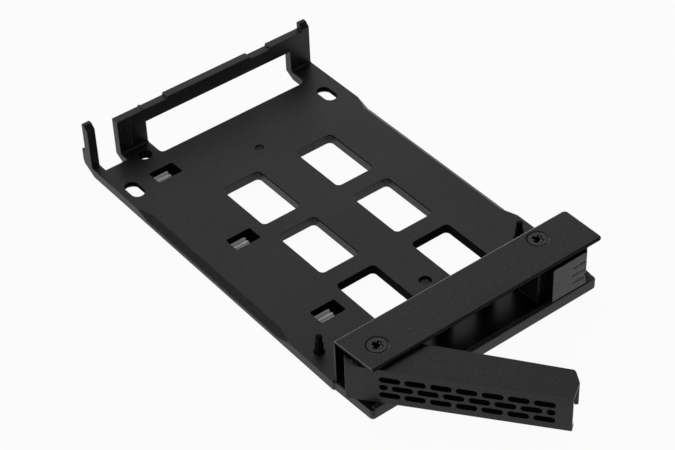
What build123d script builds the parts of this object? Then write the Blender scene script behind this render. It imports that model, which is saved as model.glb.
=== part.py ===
from build123d import *
import os
from math import cos, radians, sin

os.makedirs("parts", exist_ok=True)

# Frame: X across the tray, -Y towards the lever, +Z up; origin on the drive seating face
# at the middle of the drive's bottom hole pattern.

# Drive that the tray carries (2.5 inch class)
hole_pitch_x = 61.72
hole_pitch_y = 76.6
hole_to_connector_end = 14.0
hole_to_far_end = 9.6
drive_play = 0.1

# Tray plate
tray_width = 70.9
tray_shift = 0.85
plate_thickness = 2.7
tray_front = -61.3
slot_width = 3.6
slot_length = 6.4
slot_countersink = 1.3
shoulder = 0.6
tray_left = tray_shift - tray_width / 2
tray_right = tray_shift + tray_width / 2
rear_stop = hole_pitch_y / 2 + hole_to_connector_end + drive_play
front_stop = -(hole_pitch_y / 2 + hole_to_far_end + drive_play)

# Side rail reliefs on both long edges
relief_width = 1.7
relief_depth = 1.5
relief_rear = 32.0
relief_front = -32.0
relief_run = 5.0

# Six large windows in two columns
window_width = 11.5
window_length = 18.0
window_radius = 1.2
window_pitch = 23.4
window_first = 14.9
window_column_pitch = 23.3
strip_to_window = 12.7

# Contact strip channel with three small windows
slot_to_strip = 9.86
strip_x = -hole_pitch_x / 2 + slot_to_strip
window_columns = (strip_x + strip_to_window, strip_x + strip_to_window + window_column_pitch)
pad_window_width = 7.2
pad_window_length = 4.6
pad_window_radius = 0.4
pad_pitch = 33.8
pad_first = 38.8
strip_width = 8.6
strip_thickness = 0.3
strip_rear = 44.5
strip_front = -34.0
channel_clearance = 0.2
sight_hole_y = 48.3
sight_hole_radius = 1.8
stake_y = 21.9
stake_radius = 1.0
stake_depth = 1.1
stake_head_radius = 1.7
pad_count = 3
pad_crest = -1.55
pad_dip = 0.5
pad_wave = 1.3

# Plate rivets, on the middle line between the window columns
rivet_x = sum(window_columns) / 2
rivet_rear_y = 31.4
rivet_front_y = -35.4
rivet_rear_radius = 1.2
rivet_front_radius = 1.5
rivet_rear_sink = 0.35
rivet_front_sink = 0.6
rivet_round = 0.3

# Rear frame
bar_thickness = 2.5
bar_bottom = 6.4
bar_top = 11.0
post_top = 13.0
post_width = 2.4
post_middles = (tray_left + post_width / 2, tray_right - post_width / 2)
foot_height = 4.2
foot_reach = 1.5
post_slope = 1.3
foot_bead = 0.35
leg_groove_inset = 12.2
leg_groove_width = 0.7
leg_groove_depth = 0.3
leg_groove_foot = 1.8
leg_groove_height = 7.4
left_leg_inset = 8.9
left_leg_width = 8.6
right_leg_width = 6.7
left_leg_outer = tray_left + left_leg_inset
left_leg_inner = left_leg_outer + left_leg_width
right_leg_inner = tray_right - right_leg_width
notch_depth = 6.1
notch_front = rear_stop - notch_depth
gap_depth = 2.8
gap_front = rear_stop - gap_depth
scoop_start = 0.6
scoop_face = 0.4
scoop_top = 0.6
top_dip_depth = 0.7
left_dip_end = -10.1
right_dip = (19.9, 6.4)
ear_width = 0.7
ear_height = 0.35

# Front bay
bay_left_inset = 0.4
bay_right_inset = 0.8
bay_left = tray_left + bay_left_inset
bay_right = tray_right - bay_right_inset
bay_taper = 0.5
bay_floor = -0.6
bay_wall = 1.4
lip_top = 0.45
corner_radius = 1.0

# Cover sheet
cover_top = 12.4
cover_thickness = 0.65
cover_inset_left = 0.7
cover_slant = 0.8
cover_overhang = 0.1
cover_left = tray_left + cover_inset_left
cover_left_front = cover_left + cover_slant
cover_right = tray_right + cover_overhang
cover_bend = 1.2
flange_bend = 0.6
flange_seat_depth = 0.3
flange_clearance = 0.4
cover_front_gap = 0.2
vent_window_width = 7.2
vent_window_height = 7.0
vent_window_bottom = 1.6
vent_window_pitch = 13.2
vent_window_centre = -2.0
vent_window_radius = 0.8
dimple_depth = 0.9
dimple_radius = 3.6

# Screws that hold the cover
screw_head_radius = 2.6
screw_radius = 1.45
screw_head_height = 1.15
screw_head_sink = 0.05
screw_length = 6.0
sink_clearance = 0.12
recess_width = 0.75
recess_span = 2.4
recess_depth = 0.9
recess_turn = 24
left_screw_inset = 7.5
left_screw_depth = 6.0
right_screw_inset = 12.1
right_screw_depth = 3.8
left_screw = (tray_left + left_screw_inset, tray_front + left_screw_depth)
right_screw = (tray_right - right_screw_inset, front_stop - right_screw_depth)
boss_radius = 2.9
tap_depth = 7.5
thread_clearance = 0.02

# Pivot post of the lever, on the left screw's axis
pivot_radius = 2.5
pivot_fit = 0.05
pivot_spigot_radius = 1.9
pivot_flange_radius = 3.8
pivot_flange_height = 0.9

# Lever, drawn in its own frame: U along the lever, V towards the drive, origin on the pivot
lever_open_angle = 51.7
lever_wall = 1.0
lever_proud = 0.36
lever_heel = -6.06
heel_back = (-4.2, 1.9)
heel_side = (-6.9, -3.2)
heel_fill = 4.0
lever_back = 4.1
lever_bottom = 0.75
lever_top = 11.1
lever_skin = 0.9
barrel_radius = 4.6
dimple_clearance = 0.4
vent_length = 4.8
vent_height = 1.55
vent_pitch = 5.78
vent_first = 1.74
vent_rows = (3.4, 5.72, 8.04)
vent_count = 7

# Tail of the lever that the latch holds
tail_clearance = 0.4
tail_lean = 0.6
tail_wall = 0.9
tail_bend = -1.2
tail_back = 2.0
tail_slope = 0.7
tail_corner = 0.5
tail_foot = 4.2
tail_open = 4.5
catch_height = 4.2
catch_width = 2.2
catch_centre = 7.9

# Latch button, slides along +X
button_inset = 4.7
button_width = 11.1
button_left = tray_right - button_inset - button_width
button_bottom = 0.8
button_top = 10.7
button_depth = 3.0
button_front = tray_front + 0.05
latch_travel = 2.5
groove_height = 1.05
groove_depth = 0.45
groove_length = 4.6
button_round = 0.5
slider_bottom = -0.3
slider_top = 2.2
slider_inset = 0.5
slider_left = button_left + slider_inset
slide_clearance = 0.4
keel_width = 1.2
keel_depth = 1.1
keel_y = -56.8
keel_fit = 0.05
nose_flat = 0.8
nose_bottom = 6.4
nose_height = 2.4
nose_front = -57.2
nose_back = -55.0

# Guide wall beside the button and stop wall of the latch spring
guide_wall_thickness = 1.2
guide_wall_right = button_left - slide_clearance
guide_wall_left = guide_wall_right - guide_wall_thickness
guide_wall_inset = 3.3
guide_wall_front = tray_front + guide_wall_inset
guide_wall_top = 9.6
stop_wall_thickness = 1.2
stop_wall_left = bay_right - stop_wall_thickness
stop_wall_front = -57.7
stop_wall_back = -52.0
stop_wall_top = 8.0
window_clearance = 0.4

# Springs
latch_spring_y = -56.3
latch_spring_z = 4.5
latch_spring_radius = 1.15
latch_wire = 0.3
latch_spring_turns = 7
spring_seat_inset = 3.9
spring_seat_x = button_left + spring_seat_inset
spring_rib = 1.2
spring_rod_radius = 0.7
spring_rod_length = 3.6
lever_spring_radius = 3.35
lever_wire = 0.5
lever_spring_turns = 3
lever_spring_pitch = 0.62
spring_pocket_radius = 3.9
spring_pocket_top = 3.4
anchor_uv = (-4.6, -4.6)
anchor_radius = 0.45
anchor_length = 3.0
anchor_proud = 0.15

# Drive pegs
peg_root_radius = 1.35
peg_collar = 0.2
peg_base_radius = 1.05
peg_tip_radius = 0.85
peg_step = 2.6
peg_height = 5.0
peg_chamfer = 0.25

plate_bottom = -plate_thickness
bar_rear = rear_stop + bar_thickness
foot_rear = bar_rear + foot_reach
cover_under = cover_top - cover_thickness
screw_seat = cover_under - dimple_depth
flange_inner = front_stop - cover_thickness
bay_rear = flange_inner - flange_clearance
screw_hole_radius = screw_radius + 0.1
tap_radius = screw_radius + thread_clearance
lever_spring_bottom = bay_floor + pivot_flange_height + lever_wire / 2
lever_front = tray_front - lever_proud - left_screw[1]
lever_tip = guide_wall_left - tail_clearance - tail_lean - left_screw[0]
tail = (
    (lever_tip, lever_front),
    (lever_tip + tail_lean, tail_bend),
    (lever_tip - tail_slope, tail_back),
    (lever_tip - tail_slope - tail_corner, tail_back + tail_corner),
)
button_right = button_left + button_width
slider_right = bay_right - bay_wall - bay_taper - latch_travel - slide_clearance
nose_tip = guide_wall_left
strip_under = plate_bottom + 2 * strip_thickness
beyond = 5.0


def lever_plane(height=0.0):
    """Plane of the lever's own frame at a height, turned to the open pose."""
    turn = radians(-lever_open_angle)
    return Plane(
        origin=(left_screw[0], left_screw[1], height),
        x_dir=(cos(turn), sin(turn), 0),
        z_dir=(0, 0, 1),
    )


# Tray moulding: plate, rear frame, corner posts and front bay
with BuildPart() as tray_base:
    with BuildSketch(Plane.XY.offset(plate_bottom)):
        with BuildLine():
            Polyline(
                (tray_left, foot_rear),
                (tray_left, front_stop),
                (bay_left, front_stop - shoulder),
                (bay_left + bay_taper, tray_front),
                (bay_right - bay_taper, tray_front),
                (bay_right, front_stop - shoulder),
                (tray_right, front_stop),
                (tray_right, foot_rear),
                close=True,
            )
        make_face()
        front_corners = vertices().group_by(Axis.Y)[0]
        fillet(front_corners, corner_radius)
    extrude(amount=plate_thickness)
    # Openings at the rear edge: beside the left leg and under the connector
    with BuildSketch(Plane.XY):
        with BuildLine():
            Polyline(
                (tray_left + post_width, foot_rear + beyond),
                (tray_left + post_width, gap_front),
                (left_leg_outer, gap_front),
                (left_leg_outer, foot_rear + beyond),
                close=True,
            )
        make_face()
        with Locations(((left_leg_inner + right_leg_inner) / 2, notch_front)):
            Rectangle(
                right_leg_inner - left_leg_inner,
                foot_rear + beyond - notch_front,
                align=(Align.CENTER, Align.MIN),
            )
        inner_corners = vertices().group_by(Axis.Y)[0]
        fillet(inner_corners, window_radius)
    extrude(amount=-plate_thickness, mode=Mode.SUBTRACT)
    # Legs and crossbar of the rear frame
    with BuildSketch(Plane.XZ.offset(-rear_stop)):
        with BuildLine():
            Polyline(
                (left_leg_outer, 0),
                (left_leg_outer, bar_top - top_dip_depth),
                (left_dip_end, bar_top - top_dip_depth),
                (left_dip_end, bar_top),
                (tray_right, bar_top),
                (tray_right, 0),
                (right_leg_inner, 0),
                (right_leg_inner, bar_bottom),
                (left_leg_inner, bar_bottom),
                (left_leg_inner, 0),
                close=True,
            )
        make_face()
        with Locations((right_dip[0], bar_top)):
            Rectangle(right_dip[1], 2 * top_dip_depth, mode=Mode.SUBTRACT)
        with Locations((left_leg_inner - ear_width / 2, bar_top - top_dip_depth)):
            Rectangle(ear_width, 2 * ear_height)
    extrude(amount=-bar_thickness)
    # Small beads along the foot of both legs
    with BuildSketch(Plane.YZ.offset(left_leg_outer)):
        with BuildLine():
            Polyline(
                (rear_stop - foot_bead, 0),
                (rear_stop, 0),
                (rear_stop, foot_bead),
                close=True,
            )
        make_face()
    extrude(amount=left_leg_width)
    with BuildSketch(Plane.YZ.offset(right_leg_inner)):
        with BuildLine():
            Polyline(
                (rear_stop - foot_bead, 0),
                (rear_stop, 0),
                (rear_stop, foot_bead),
                close=True,
            )
        make_face()
    extrude(amount=right_leg_width)
    # Shallow groove in the front of the left leg
    with BuildSketch(Plane.XY.offset(leg_groove_foot)):
        with Locations((tray_left + leg_groove_inset, rear_stop)):
            Rectangle(leg_groove_width, 2 * leg_groove_depth)
    extrude(amount=leg_groove_height, mode=Mode.SUBTRACT)
    # Corner posts with a sloped top and a stepped rear foot
    with BuildSketch(Plane.XY):
        for post_middle in post_middles:
            with Locations((post_middle, rear_stop)):
                Rectangle(post_width, bar_thickness, align=(Align.CENTER, Align.MIN))
    extrude(amount=post_top)
    post_fronts = faces().group_by(Axis.Z)[-1].edges().filter_by(Axis.X).group_by(Axis.Y)[0]
    chamfer(post_fronts, post_slope)
    with BuildSketch(Plane.XY):
        for post_middle in post_middles:
            with Locations((post_middle, rear_stop)):
                Rectangle(post_width, foot_rear - rear_stop, align=(Align.CENTER, Align.MIN))
    extrude(amount=foot_height)
    # Sloped underside of the rear end
    with BuildSketch(Plane.YZ.offset(tray_left)):
        with BuildLine():
            Polyline(
                (rear_stop - scoop_start, plate_bottom),
                (foot_rear - scoop_face, -scoop_face),
                (foot_rear, scoop_top),
                (foot_rear + beyond, scoop_top),
                (foot_rear + beyond, plate_bottom),
                close=True,
            )
        make_face()
    extrude(amount=tray_width, mode=Mode.SUBTRACT)
    # Between the posts the plate and legs stop at the bar's rear face
    with BuildSketch(Plane.XY.offset(plate_bottom)):
        with Locations((tray_shift, bar_rear)):
            Rectangle(
                tray_width - 2 * post_width, foot_reach + beyond, align=(Align.CENTER, Align.MIN)
            )
    extrude(amount=post_top - plate_bottom, mode=Mode.SUBTRACT)
    # Sloped rail reliefs along both long edges
    with BuildSketch(Plane.XY):
        for edge, outward in ((tray_left, -1), (tray_right, 1)):
            with BuildLine():
                Polyline(
                    (edge + outward * beyond, relief_rear),
                    (edge, relief_rear),
                    (edge - outward * relief_width, relief_rear - relief_run),
                    (edge - outward * relief_width, relief_front + relief_run),
                    (edge, relief_front),
                    (edge + outward * beyond, relief_front),
                    close=True,
                )
            make_face()
    extrude(amount=-relief_depth, taper=45, mode=Mode.SUBTRACT)
    # Large windows
    with BuildSketch(Plane.XY):
        for column in window_columns:
            for row in range(3):
                with Locations((column, window_first - window_pitch * row)):
                    RectangleRounded(window_width, window_length, window_radius)
    extrude(amount=-plate_thickness, mode=Mode.SUBTRACT)
    # Small windows above the contact strip, and the sight hole behind it
    with BuildSketch(Plane.XY):
        for row in range(pad_count):
            with Locations((strip_x, pad_first - pad_pitch * row)):
                RectangleRounded(pad_window_width, pad_window_length, pad_window_radius)
        with Locations((strip_x, sight_hole_y)):
            Circle(sight_hole_radius)
    extrude(amount=-plate_thickness, mode=Mode.SUBTRACT)
    # Channel in the underside for the contact strip
    with BuildSketch(Plane.XY.offset(plate_bottom)):
        with Locations((strip_x, (strip_rear + strip_front) / 2)):
            Rectangle(
                strip_width + 2 * channel_clearance,
                strip_rear - strip_front + 2 * channel_clearance,
            )
    extrude(amount=2 * strip_thickness, mode=Mode.SUBTRACT)
    # Rear drive slots, countersunk from below
    with BuildSketch(Plane.XY):
        with Locations((-hole_pitch_x / 2, hole_pitch_y / 2), (hole_pitch_x / 2, hole_pitch_y / 2)):
            SlotOverall(slot_length, slot_width, rotation=90)
    extrude(amount=-plate_thickness, mode=Mode.SUBTRACT)
    slot_rims = edges().filter_by_position(Axis.Z, plate_bottom, plate_bottom).filter_by_position(
        Axis.Y, hole_pitch_y / 2 - slot_length / 2, hole_pitch_y / 2 + slot_length / 2
    )
    slot_rims = [
        rim
        for rim in slot_rims
        if abs(abs(rim.center().X) - hole_pitch_x / 2) < slot_width / 2 + 0.1
    ]
    chamfer(slot_rims, slot_countersink)
    # Seat for the foot of the cover's flange
    with BuildSketch(Plane.XY):
        with Locations((tray_shift, front_stop)):
            Rectangle(tray_width, front_stop - bay_rear, align=(Align.CENTER, Align.MAX))
    extrude(amount=-flange_seat_depth, mode=Mode.SUBTRACT)
    # Front bay: pocket, lip, boss and walls
    with BuildSketch(Plane.XY.offset(bay_floor)):
        with BuildLine():
            Polyline(
                (bay_left + bay_wall, bay_rear),
                (bay_left + bay_wall + bay_taper, tray_front + bay_wall),
                (bay_right - bay_wall - bay_taper, tray_front + bay_wall),
                (bay_right - bay_wall, bay_rear),
                close=True,
            )
        make_face()
    extrude(amount=-bay_floor, mode=Mode.SUBTRACT)
    with BuildSketch(Plane.XY):
        with Locations(((bay_left + bay_right) / 2, tray_front)):
            Rectangle(
                bay_right - bay_left - 2 * (bay_taper + corner_radius),
                bay_wall,
                align=(Align.CENTER, Align.MIN),
            )
    extrude(amount=lip_top)
    with BuildSketch(Plane.XY.offset(bay_floor)):
        with Locations(right_screw):
            Circle(boss_radius)
    extrude(amount=screw_seat - bay_floor)
    with BuildSketch(Plane.XY.offset(bay_floor)):
        with Locations(
            ((guide_wall_left + guide_wall_right) / 2, (guide_wall_front + bay_rear) / 2)
        ):
            Rectangle(guide_wall_thickness, bay_rear - guide_wall_front)
    extrude(amount=guide_wall_top - bay_floor)
    with BuildSketch(Plane.XY.offset(bay_floor)):
        with Locations((stop_wall_left, stop_wall_front)):
            Rectangle(
                bay_right - bay_taper - stop_wall_left,
                stop_wall_back - stop_wall_front,
                align=(Align.MIN, Align.MIN),
            )
    extrude(amount=stop_wall_top - bay_floor)
    # Window in the guide wall for the latch nose
    with Locations(
        (
            (guide_wall_left + guide_wall_right) / 2,
            (nose_front + nose_back) / 2,
            nose_bottom + nose_height / 2,
        )
    ):
        Box(
            guide_wall_thickness + 2 * window_clearance,
            nose_back - nose_front + 2 * window_clearance,
            nose_height + 2 * window_clearance,
            mode=Mode.SUBTRACT,
        )
    # Rod on the stop wall that carries the latch spring
    with BuildSketch(Plane.YZ.offset(stop_wall_left)):
        with Locations((latch_spring_y, latch_spring_z)):
            Circle(spring_rod_radius)
    extrude(amount=-spring_rod_length)
    # Groove that guides the latch keel
    with BuildSketch(Plane.XY.offset(bay_floor)):
        with Locations((slider_left - slide_clearance, keel_y)):
            Rectangle(
                slider_right - slider_left + latch_travel + 2 * slide_clearance,
                keel_width + 2 * keel_fit,
                align=(Align.MIN, Align.CENTER),
            )
    extrude(amount=-keel_depth, mode=Mode.SUBTRACT)
    # Seats: cover screw, pivot spigot, pegs and plate rivets
    with Locations((right_screw[0], right_screw[1], screw_seat)):
        Hole(tap_radius, depth=tap_depth)
    with Locations((left_screw[0], left_screw[1], 0)):
        Hole(pivot_spigot_radius, depth=plate_thickness)
    with Locations((-hole_pitch_x / 2, -hole_pitch_y / 2, 0), (hole_pitch_x / 2, -hole_pitch_y / 2, 0)):
        Hole(peg_root_radius, depth=plate_thickness)
    with Locations((rivet_x, rivet_rear_y, 0)):
        Hole(rivet_rear_radius, depth=plate_thickness)
    with Locations((rivet_x, rivet_front_y, 0)):
        Hole(rivet_front_radius, depth=plate_thickness)
    with BuildSketch(Plane.XY.offset(strip_under)):
        with Locations((strip_x, stake_y)):
            Circle(stake_radius)
    extrude(amount=stake_depth, mode=Mode.SUBTRACT)
tray_base.part.label = "tray_base"
export_step(tray_base.part, "parts/tray_base.step")

# Cover sheet: bent plate with a rear flange, vent windows and two dimpled screw seats
with BuildPart() as front_cover:
    with BuildSketch(Plane.XY.offset(cover_under)):
        with BuildLine():
            Polyline(
                (cover_left, front_stop),
                (cover_left_front, tray_front + cover_front_gap),
                (cover_right, tray_front + cover_front_gap),
                (cover_right, front_stop),
                close=True,
            )
        make_face()
        fillet(vertices().group_by(Axis.X)[-1], cover_bend)
    extrude(amount=cover_thickness)
    with BuildSketch(Plane.XY):
        with Locations((cover_left, flange_inner)):
            Rectangle(
                cover_right - cover_left - cover_bend,
                cover_thickness,
                align=(Align.MIN, Align.MIN),
            )
    extrude(amount=-flange_seat_depth)
    with BuildSketch(Plane.XY):
        with Locations((cover_left, flange_inner)):
            Rectangle(
                cover_right - cover_left - cover_bend,
                cover_thickness,
                align=(Align.MIN, Align.MIN),
            )
    extrude(amount=cover_under)
    bend_edge = edges().filter_by(Axis.X).filter_by_position(Axis.Y, front_stop - 0.01, front_stop + 0.01)
    fillet(bend_edge.sort_by(Axis.Z)[-1], flange_bend)
    with BuildSketch(Plane.XZ.offset(-front_stop)):
        for place in (-1.5, -0.5, 0.5, 1.5):
            with Locations(
                (
                    vent_window_centre + place * vent_window_pitch,
                    vent_window_bottom + vent_window_height / 2,
                )
            ):
                RectangleRounded(vent_window_width, vent_window_height, vent_window_radius)
    extrude(amount=cover_thickness, mode=Mode.SUBTRACT)
    for place in (left_screw, right_screw):
        with Locations((place[0], place[1], cover_under - dimple_depth / 2)):
            Cone(dimple_radius - dimple_depth, dimple_radius, dimple_depth)
        with Locations((place[0], place[1], cover_top)):
            CounterSinkHole(
                screw_hole_radius,
                screw_head_radius + sink_clearance,
                depth=2 * cover_thickness + dimple_depth,
            )
front_cover.part.label = "front_cover"
export_step(front_cover.part, "parts/front_cover.step")

# Countersunk cross-head screws
for screw_name, place in (("cover_screw_left", left_screw), ("cover_screw_right", right_screw)):
    with BuildPart() as cover_screw:
        head_top = cover_top - screw_head_sink
        with Locations((place[0], place[1], head_top - screw_head_height / 2)):
            Cone(screw_radius, screw_head_radius, screw_head_height)
        with Locations((place[0], place[1], head_top - screw_length / 2)):
            Cylinder(screw_radius, screw_length)
        with BuildSketch(Plane.XY.offset(head_top)):
            with Locations(place):
                Rectangle(recess_span, recess_width, rotation=recess_turn)
                Rectangle(recess_span, recess_width, rotation=recess_turn + 90)
        extrude(amount=-recess_depth, taper=8, mode=Mode.SUBTRACT)
    cover_screw.part.label = screw_name
    export_step(cover_screw.part, "parts/" + screw_name + ".step")

# Steel post that the lever turns on
with BuildPart() as pivot_post:
    with Locations((left_screw[0], left_screw[1], plate_bottom)):
        Cylinder(
            pivot_spigot_radius,
            bay_floor - plate_bottom,
            align=(Align.CENTER, Align.CENTER, Align.MIN),
        )
    with Locations((left_screw[0], left_screw[1], bay_floor)):
        Cylinder(
            pivot_flange_radius,
            pivot_flange_height,
            align=(Align.CENTER, Align.CENTER, Align.MIN),
        )
        Cylinder(
            pivot_radius,
            screw_seat - bay_floor,
            align=(Align.CENTER, Align.CENTER, Align.MIN),
        )
    with Locations((left_screw[0], left_screw[1], screw_seat)):
        Hole(tap_radius, depth=tap_depth)
pivot_post.part.label = "pivot_post"
export_step(pivot_post.part, "parts/pivot_post.step")

# Lever: box channel open at the back, with vents, hinge barrel, heel and tail
with BuildPart() as lever_shell:
    for skin_base in (lever_bottom, lever_top - lever_skin):
        with BuildSketch(lever_plane(skin_base)):
            with BuildLine():
                Polyline(
                    (lever_heel, lever_front),
                    tail[0],
                    tail[1],
                    tail[2],
                    tail[3],
                    (0.0, lever_back),
                    heel_back,
                    heel_side,
                    close=True,
                )
            make_face()
        extrude(amount=lever_skin)
    with BuildSketch(lever_plane(lever_bottom)):
        with Locations((lever_heel, lever_front)):
            Rectangle(lever_tip - lever_heel, lever_wall, align=(Align.MIN, Align.MIN))
        with BuildLine():
            Polyline(
                (lever_heel, lever_front),
                (heel_fill, lever_front),
                (heel_fill, 0),
                heel_back,
                heel_side,
                close=True,
            )
        make_face()
        Circle(barrel_radius)
    extrude(amount=lever_top - lever_bottom)
    # Tail wall between the slanted ends of both skins
    with BuildSketch(lever_plane(lever_bottom)):
        with BuildLine():
            Polyline(
                tail[1],
                tail[2],
                (tail[2][0] - tail_wall, tail[2][1] - 0.3),
                (tail[1][0] - tail_wall, tail[1][1] - 0.3),
                close=True,
            )
        make_face()
    extrude(amount=lever_top - lever_bottom)
    # The lower skin and the foot of the tail wall are cut back
    with BuildSketch(lever_plane(lever_bottom)):
        with Locations((lever_tip - tail_open, lever_front + lever_wall)):
            Rectangle(
                tail_open + beyond,
                lever_back + tail_back - lever_front,
                align=(Align.MIN, Align.MIN),
            )
    extrude(amount=tail_foot - lever_bottom, mode=Mode.SUBTRACT)
    # Bore, relief for the cover's dimple and pocket for the torsion spring
    with BuildSketch(lever_plane(lever_bottom)):
        Circle(pivot_radius + pivot_fit)
    extrude(amount=lever_top - lever_bottom, mode=Mode.SUBTRACT)
    with BuildSketch(lever_plane(screw_seat - dimple_clearance)):
        Circle(dimple_radius + dimple_clearance / 2)
    extrude(amount=lever_top, mode=Mode.SUBTRACT)
    with BuildSketch(lever_plane(lever_bottom)):
        Circle(spring_pocket_radius)
    extrude(amount=spring_pocket_top - lever_bottom, mode=Mode.SUBTRACT)
    # Seat for the spring anchor
    with BuildSketch(lever_plane(lever_top)):
        with Locations(anchor_uv):
            Circle(anchor_radius)
    extrude(amount=-anchor_length, mode=Mode.SUBTRACT)
    # Vent slots through the front wall in a brick pattern
    face_plane = Plane(
        origin=lever_plane().from_local_coords(Vector(0, lever_front, 0)),
        x_dir=lever_plane().x_dir,
        z_dir=-lever_plane().y_dir,
    )
    with BuildSketch(face_plane):
        for row, height in enumerate(vent_rows):
            shift = vent_pitch / 2 if row == 1 else 0
            count = vent_count - 1 if row == 1 else vent_count
            for place in range(count):
                start = vent_first + shift + place * vent_pitch
                with Locations((start + vent_length / 2, height)):
                    SlotOverall(vent_length, vent_height)
        short = vent_pitch / 2 - (vent_pitch - vent_length)
        last = vent_first + (vent_count - 1) * vent_pitch + vent_length
        with Locations((vent_first + short / 2, vent_rows[1]), (last - short / 2, vent_rows[1])):
            SlotOverall(short, vent_height)
    extrude(amount=-lever_wall, mode=Mode.SUBTRACT)
    # Catch window in the tail wall
    tail_middle = ((tail[1][0] + tail[2][0]) / 2, (tail[1][1] + tail[2][1]) / 2)
    catch_place = lever_plane().from_local_coords(Vector(tail_middle[0], tail_middle[1], catch_centre))
    with Locations(Location(catch_place, (0, 0, -lever_open_angle + 22))):
        Box(3 * tail_wall, catch_width, catch_height, mode=Mode.SUBTRACT)
lever_shell.part.label = "lever_shell"
export_step(lever_shell.part, "parts/lever_shell.step")

# Pin in the lever's heel that holds the torsion spring's upper leg
with BuildPart() as spring_anchor:
    with BuildSketch(lever_plane(lever_top + anchor_proud)):
        with Locations(anchor_uv):
            Circle(anchor_radius)
    extrude(amount=-anchor_length)
spring_anchor.part.label = "spring_anchor"
export_step(spring_anchor.part, "parts/spring_anchor.step")

# Torsion spring around the pivot post
with BuildPart() as lever_spring:
    with BuildLine():
        lever_coil = Helix(
            pitch=lever_spring_pitch,
            height=lever_spring_pitch * lever_spring_turns,
            radius=lever_spring_radius,
            center=(left_screw[0], left_screw[1], lever_spring_bottom),
        )
    with BuildSketch(Plane(origin=lever_coil @ 0, z_dir=lever_coil % 0)):
        Circle(lever_wire / 2)
    sweep(is_frenet=True)
lever_spring.part.label = "lever_spring"
export_step(lever_spring.part, "parts/lever_spring.step")

# Latch button with grip grooves, slider foot, keel and nose
with BuildPart() as latch_button:
    with BuildSketch(Plane.XY.offset(button_bottom)):
        with Locations((button_left, button_front)):
            Rectangle(button_width, button_depth, align=(Align.MIN, Align.MIN))
        fillet(vertices().group_by(Axis.Y)[0], button_round)
    extrude(amount=button_top - button_bottom)
    with BuildSketch(Plane.XY.offset(slider_bottom)):
        with Locations((slider_left, tray_front + bay_wall + slide_clearance)):
            Rectangle(
                slider_right - slider_left,
                nose_back - tray_front - bay_wall - slide_clearance,
                align=(Align.MIN, Align.MIN),
            )
    extrude(amount=slider_top - slider_bottom)
    with BuildSketch(Plane.XY.offset(bay_floor - keel_depth + 2 * keel_fit)):
        with Locations((slider_left, keel_y)):
            Rectangle(
                slider_right - slider_left, keel_width, align=(Align.MIN, Align.CENTER)
            )
    extrude(amount=slider_top - bay_floor)
    # Rib behind the face that takes the spring, and the nose beside it
    with BuildSketch(Plane.XY.offset(slider_top)):
        with Locations((spring_seat_x - spring_rib, button_front + button_depth)):
            Rectangle(
                spring_rib,
                nose_back - button_front - button_depth,
                align=(Align.MIN, Align.MIN),
            )
    extrude(amount=nose_bottom + nose_height - slider_top)
    with BuildSketch(Plane.XY.offset(nose_bottom)):
        with BuildLine():
            Polyline(
                (nose_tip, nose_back),
                (nose_tip, nose_back - nose_flat),
                (guide_wall_right + slide_clearance, nose_front),
                (spring_seat_x, nose_front),
                (spring_seat_x, nose_back),
                close=True,
            )
        make_face()
    extrude(amount=nose_height)
    # Grip grooves around the right end of the face
    for height in vent_rows:
        with BuildSketch(Plane.XY.offset(height - groove_height / 2)):
            with Locations((button_right - groove_length, button_front)):
                Rectangle(groove_length, groove_depth, align=(Align.MIN, Align.MIN))
            with Locations((button_right, button_front)):
                Rectangle(groove_depth, 2 * button_depth, align=(Align.MAX, Align.CENTER))
        extrude(amount=groove_height, mode=Mode.SUBTRACT)
latch_button.part.label = "latch_button"
export_step(latch_button.part, "parts/latch_button.step")

# Compression spring that returns the latch button
with BuildPart() as latch_spring:
    coil_length = stop_wall_left - spring_seat_x - latch_wire
    with BuildLine():
        latch_coil = Helix(
            pitch=coil_length / latch_spring_turns,
            height=coil_length,
            radius=latch_spring_radius,
            center=(spring_seat_x + latch_wire / 2, latch_spring_y, latch_spring_z),
            direction=(1, 0, 0),
        )
    with BuildSketch(Plane(origin=latch_coil @ 0, z_dir=latch_coil % 0)):
        Circle(latch_wire / 2)
    sweep(is_frenet=True)
latch_spring.part.label = "latch_spring"
export_step(latch_spring.part, "parts/latch_spring.step")

# Stepped pegs for the drive's front bottom holes
for peg_name, side in (("drive_peg_left", -1), ("drive_peg_right", 1)):
    peg_axis = Plane(
        origin=(side * hole_pitch_x / 2, -hole_pitch_y / 2, 0), x_dir=(1, 0, 0), z_dir=(0, -1, 0)
    )
    with BuildPart() as drive_peg:
        with BuildSketch(peg_axis):
            with BuildLine():
                Polyline(
                    (0, plate_bottom),
                    (peg_root_radius, plate_bottom),
                    (peg_root_radius, peg_collar),
                    (peg_base_radius, peg_collar),
                    (peg_base_radius, peg_step),
                    (peg_tip_radius, peg_step + peg_base_radius - peg_tip_radius),
                    (peg_tip_radius, peg_height - peg_chamfer),
                    (peg_tip_radius - peg_chamfer, peg_height),
                    (0, peg_height),
                    close=True,
                )
            make_face()
        revolve(axis=Axis(peg_axis.origin, (0, 0, 1)))
    drive_peg.part.label = peg_name
    export_step(drive_peg.part, "parts/" + peg_name + ".step")

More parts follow.
